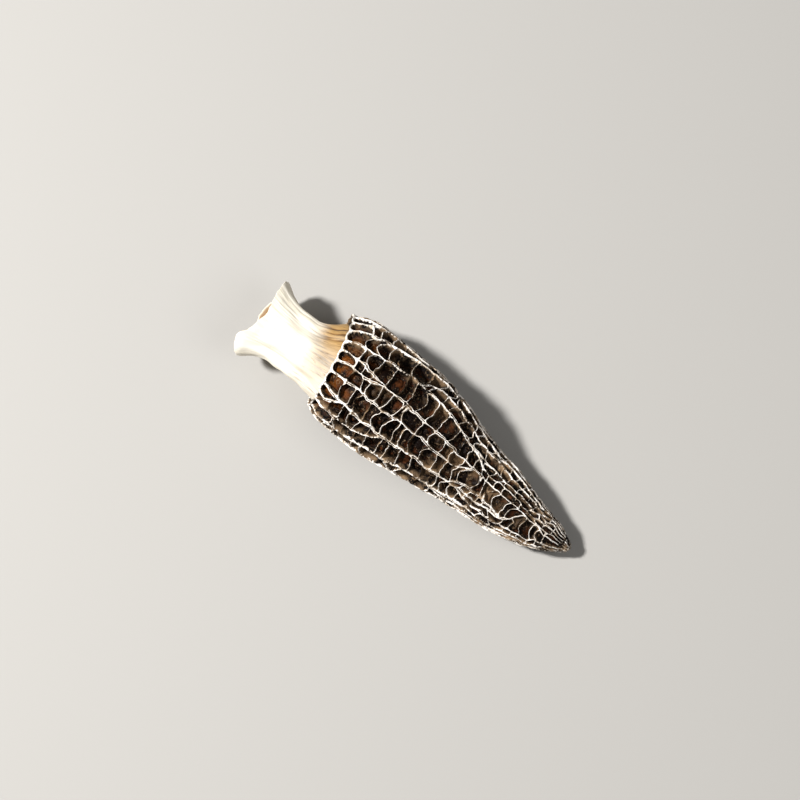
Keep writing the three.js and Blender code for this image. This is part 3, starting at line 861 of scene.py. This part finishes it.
# Settings that many nodes share
SUM = {"operation": "MULTIPLY_ADD"}
CLAMPED_SUM = {"operation": "MULTIPLY_ADD", "use_clamp": True}
PRODUCT = {"operation": "MULTIPLY", "use_clamp": True}
TINTS = {"data_type": "RGBA"}


def thin_lines(tree, pattern, half_width):
    """1 along the lines where a pattern passes its middle value, and 0 away from them."""
    apart = add_node(tree, "ShaderNodeMath", {"operation": "SUBTRACT"}, {0: pattern, 1: 0.5}).outputs[0]
    apart = add_node(tree, "ShaderNodeMath", {"operation": "ABSOLUTE"}, {0: apart}).outputs[0]
    inputs = {0: apart, 1: -1 / half_width, 2: 1.0}
    return add_node(tree, "ShaderNodeMath", CLAMPED_SUM, inputs).outputs[0]


def cap_flesh():
    """Air-dried morel cap: dark shrunk membrane in the pits, satin and wrinkled, darkened to near-black by
    painted shade, and dry pale matt edges.
    """
    material, tree, shader = new_material("dried_morel_cap")
    place = add_node(tree, "ShaderNodeTexCoord").outputs["Object"]
    height, tint_glow_share, tone = [
        add_node(tree, "ShaderNodeAttribute", {"attribute_name": name}).outputs["Fac"]
        for name in ("height", "warmth", "tone")
    ]
    # Widths judged: patches of colour are about 2.5 mm, flecks 0.45 mm, folds of the membrane
    # 1.7 mm, and creases in it 0.5 mm
    patterns = [
        add_node(tree, "ShaderNodeTexNoise", None, {"Vector": place, "Scale": 1 / size, "Detail": detail})
        for size, detail in ((2.5 * MM, 4.0), (0.45 * MM, 3.0), (1.7 * MM, 2.0), (0.5 * MM, 5.0))
    ]
    blotch, fleck, fold, crease = [pattern.outputs["Fac"] for pattern in patterns]
    # Where each thing shows, from 0 to 1: a value or a pattern, times a gain, plus an offset
    on_floor, on_side, thin_patch, glow_patch, dry_pit, dry_patch, tan_patch, broken = [
        add_node(tree, "ShaderNodeMath", CLAMPED_SUM, {0: value, 1: gain, 2: offset}).outputs[0]
        for value, gain, offset in (
            (height, -2.2, 1.0), (height, 2.5, -0.5), (fold, 6.0, -3.25), (blotch, 5.0, -2.1),
            (tone, 1.1, -0.05), (blotch, 5.0, -2.25), (blotch, 4.5, -2.05), (crease, 4.0, -1.8),
        )
    ]

    # The membrane is dark brown, painted near-black over each pit and darkest on the walls as painted shade.
    # On their floors it is reddish brown in patches, where it is thin, and near the stem orange-brown shows,
    # partly its own colour and partly a painted glow. Some pits have dried to olive.
    # Painted shade: all three stops are near-black, far darker than the membrane's own dark brown
    skin = set_ramp(add_node(tree, "ShaderNodeValToRGB", None, {"Fac": height}), [
        (0, colour("#0e0502")), (0.3, colour("#060201")), (1, colour("#0c0503")),
    ])
    # Painted glow: near the stem the floors' orange-brown partly stands for light shining through the thin
    # membrane
    floor_tint_glow = add_node(tree, "ShaderNodeMath", PRODUCT, {0: tint_glow_share, 1: on_floor}).outputs[0]
    for where, patch, tint in (
        (on_floor, thin_patch, "#4e2a13"), (floor_tint_glow, glow_patch, "#6a3909"),
        (dry_pit, dry_patch, "#5c4833"),
    ):
        share = add_node(tree, "ShaderNodeMath", PRODUCT, {0: where, 1: patch}).outputs[0]
        skin = add_node(tree, "ShaderNodeMix", TINTS, {0: share, 6: skin, 7: colour(tint)}).outputs[2]

    # Thin tan wrinkles in the membrane, and sides that are tan in places
    wrinkle = thin_lines(tree, fold, 0.035)
    seen = add_node(tree, "ShaderNodeMath", PRODUCT, {0: wrinkle, 1: broken}).outputs[0]
    tan = add_node(tree, "ShaderNodeMath", PRODUCT, {0: on_side, 1: tan_patch}).outputs[0]
    tan = add_node(tree, "ShaderNodeMath", {"operation": "MAXIMUM"}, {0: tan, 1: seen}).outputs[0]
    skin = add_node(tree, "ShaderNodeMix", TINTS, {0: tan, 6: skin, 7: colour("#886f54")}).outputs[2]

    # The edges are pale where they stand highest, and beige and broken where they are low or worn
    level = add_node(tree, "ShaderNodeMath", SUM, {0: fleck, 1: 0.7, 2: height}).outputs[0]
    edge = add_node(tree, "ShaderNodeMath", CLAMPED_SUM, {0: level, 1: 6.5, 2: -7.2}).outputs[0]
    worn = add_node(tree, "ShaderNodeMath", SUM, {0: fold, 1: 1.0, 2: level}).outputs[0]
    limits = {"From Min": 1.4, "From Max": 1.94}
    worn = add_node(tree, "ShaderNodeMapRange", None, {"Value": worn, **limits}).outputs[0]
    pale = set_ramp(add_node(tree, "ShaderNodeValToRGB", None, {"Fac": worn}), [
        (0, colour("#8f7457")), (0.35, colour("#c6b49d")), (0.85, colour("#fbf4eb")),
    ])
    skin = add_node(tree, "ShaderNodeMix", TINTS, {0: edge, 6: skin, 7: pale}).outputs[2]
    tree.links.new(skin, shader.inputs["Base Color"])

    limits = {"To Min": 0.5, "To Max": 0.85}
    rough = add_node(tree, "ShaderNodeMapRange", None, {"Value": height, **limits}).outputs[0]
    tree.links.new(rough, shader.inputs["Roughness"])
    relief = add_node(tree, "ShaderNodeMath", SUM, {0: wrinkle, 1: 0.25, 2: crease}).outputs[0]
    bump = add_node(tree, "ShaderNodeBump", None, {"Height": relief, "Strength": 0.8, "Distance": 0.3 * MM})
    tree.links.new(bump.outputs["Normal"], shader.inputs["Normal"])
    shader.inputs["IOR"].default_value = 1.45
    # Far less gloss than that IOR gives, because fine wrinkles scatter it
    shader.inputs["Specular IOR Level"].default_value = 0.11
    return material


def stem_flesh():
    """Air-dried morel stem: matt cream flesh drawn into fine fibres, honey-coloured at the collar and inside.

    Real fibres are finer, perhaps 0.1 mm wide. They are drawn 0.24 mm wide so that they show.
    """
    material, tree, shader = new_material("dried_morel_stem")
    inside, collar, groove, tube_x, tube_y, tube_z = [
        add_node(tree, "ShaderNodeAttribute", {"attribute_name": name}).outputs["Fac"]
        for name in ("inside", "collar", "groove", "tube_x", "tube_y", "tube_z")
    ]
    tube = add_node(tree, "ShaderNodeCombineXYZ", None, {"X": tube_x, "Y": tube_y, "Z": tube_z}).outputs[0]
    drawn = add_node(tree, "ShaderNodeMapping", None, {"Vector": tube, "Scale": (0.1, 1, 1)}).outputs[0]
    patterns = [
        add_node(tree, "ShaderNodeTexNoise", None, {"Vector": drawn, "Scale": 1 / size, "Detail": detail})
        for size, detail in ((0.24, 4.0), (1.6, 3.0), (0.7, 3.0))
    ]
    fibre, stain, fold = [pattern.outputs["Fac"] for pattern in patterns]
    outside = set_ramp(add_node(tree, "ShaderNodeValToRGB", None, {"Fac": stain}), [
        (0.25, colour("#dcd2bc")), (0.5, colour("#e6decd")), (0.8, colour("#eee8dc")),
    ])
    # The pleats of the collar are honey-coloured and darker towards the +Y side, and painted shade makes them
    # darkest in their grooves
    streak_and_groove_shade = add_node(tree, "ShaderNodeMath", SUM, {0: fibre, 1: -1.6, 2: groove}).outputs[0]
    honey = set_ramp(add_node(tree, "ShaderNodeValToRGB", None, {"Fac": streak_and_groove_shade}), [
        (0, colour("#a4814e")), (0.15, colour("#8c683a")), (0.4, colour("#6f502a")),
        (0.8, colour("#4b341b")),
    ])
    place = add_node(tree, "ShaderNodeTexCoord").outputs["Object"]
    across = add_node(tree, "ShaderNodeSeparateXYZ", None, {"Vector": place}).outputs["Y"]
    limits = {"From Min": -11 * MM, "From Max": 2 * MM}
    side = add_node(tree, "ShaderNodeMapRange", None, {"Value": across, **limits}).outputs[0]
    share = add_node(tree, "ShaderNodeMath", PRODUCT, {0: collar, 1: side}).outputs[0]
    patchy = add_node(tree, "ShaderNodeMath", CLAMPED_SUM, {0: stain, 1: 1.6, 2: 0.2}).outputs[0]
    share = add_node(tree, "ShaderNodeMath", PRODUCT, {0: share, 1: patchy}).outputs[0]
    skin = add_node(tree, "ShaderNodeMix", TINTS, {0: share, 6: outside, 7: honey}).outputs[2]
    # Fine brown wrinkles run out from the collar
    wrinkle = thin_lines(tree, fold, 0.025)
    broken = add_node(tree, "ShaderNodeMath", CLAMPED_SUM, {0: stain, 1: 5.0, 2: -2.1}).outputs[0]
    seen = add_node(tree, "ShaderNodeMath", PRODUCT, {0: wrinkle, 1: collar}).outputs[0]
    seen = add_node(tree, "ShaderNodeMath", PRODUCT, {0: seen, 1: broken}).outputs[0]
    for share, tint in ((seen, "#6d5334"), (inside, "#8f704c")):
        skin = add_node(tree, "ShaderNodeMix", TINTS, {0: share, 6: skin, 7: colour(tint)}).outputs[2]
    tree.links.new(skin, shader.inputs["Base Color"])
    relief = {"Height": fibre, "Strength": 0.35, "Distance": 0.25 * MM}
    bump = add_node(tree, "ShaderNodeBump", None, relief)
    tree.links.new(bump.outputs["Normal"], shader.inputs["Normal"])
    shader.inputs["Roughness"].default_value = 0.78
    shader.inputs["IOR"].default_value = 1.42
    return material


def studio_floor():
    """Plain pale matt board."""
    material, tree, shader = new_material("pale_board")
    shader.inputs["Base Color"].default_value = colour("#a7a49f")
    shader.inputs["Roughness"].default_value = 0.9
    return material


# ---------------------------------------------------------------- the studio

CAMERA_TURN, CAMERA_RISE = radians(39), radians(75)
CAMERA_DISTANCE = 450  # far off, as through a long lens
VIEW_WIDTH = 168  # millimetres across the picture, at the morel
PICTURE = 800  # pixels
RIM_PIXEL = (330, 363)  # where the middle of the cap's rim is seen


def way_to(turn, rise):
    """The way up from the morel at an angle of "rise", from its -Y side "turn" round towards +X."""
    return Vector((sin(turn) * cos(rise), -cos(turn) * cos(rise), sin(rise)))


def add_camera():
    """Looks steeply down on the morel, from the -Y side and turned a little towards the tip."""
    back = way_to(CAMERA_TURN, CAMERA_RISE)
    right = Vector((cos(CAMERA_TURN), sin(CAMERA_TURN), 0))
    up = back.cross(right)
    rim = Vector((-ORIGIN_X, -ORIGIN_Y, STEM_CENTRE_Z[-1][1]))
    scale = VIEW_WIDTH / PICTURE
    target = rim + right * (PICTURE / 2 - RIM_PIXEL[0]) * scale
    target -= up * (PICTURE / 2 - RIM_PIXEL[1]) * scale
    data = bpy.data.cameras.new("camera")
    data.lens = data.sensor_width * CAMERA_DISTANCE / VIEW_WIDTH
    data.clip_start, data.clip_end = 0.01, 20
    camera = bpy.data.objects.new("camera", data)
    camera.location = (target + back * CAMERA_DISTANCE) * MM
    camera.rotation_euler = (-back).to_track_quat("-Z", "Y").to_euler()
    bpy.context.scene.collection.objects.link(camera)
    bpy.context.scene.camera = camera


def add_light(name, turn, rise, distance, size, power):
    """A square light aimed at the morel, "turn" degrees to the right of the camera. Lengths are in metres."""
    way = way_to(CAMERA_TURN + radians(turn), radians(rise))
    data = bpy.data.lights.new(name, "AREA")
    data.size, data.energy = size, power
    light = bpy.data.objects.new(name, data)
    light.location = way * distance
    light.rotation_euler = (-way).to_track_quat("-Z", "Y").to_euler()
    bpy.context.scene.collection.objects.link(light)


def add_studio():
    """Pale floor, a key light from the left, a soft weak one from the right, and light from all round."""
    bpy.ops.mesh.primitive_plane_add(size=6, location=(0, 0, 0))
    board = bpy.context.object
    board.name = "floor"
    board.data.materials.append(studio_floor())
    add_light("key", turn=-98, rise=52, distance=0.9, size=0.1, power=15)
    add_light("fill", turn=60, rise=50, distance=1.1, size=0.6, power=2.9)
    world = bpy.data.worlds.new("studio")
    world.use_nodes = True
    world.node_tree.nodes["Background"].inputs["Color"].default_value = colour("#f4f5f7")
    world.node_tree.nodes["Background"].inputs["Strength"].default_value = 0.16
    bpy.context.scene.world = world
    bpy.context.scene.view_settings.view_transform = "Standard"


cap = make_cap(cap_flesh())
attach(cap, "root")
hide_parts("cap")
stem = make_stem(stem_flesh())
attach(stem, "root")
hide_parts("stem")
add_camera()
add_studio()
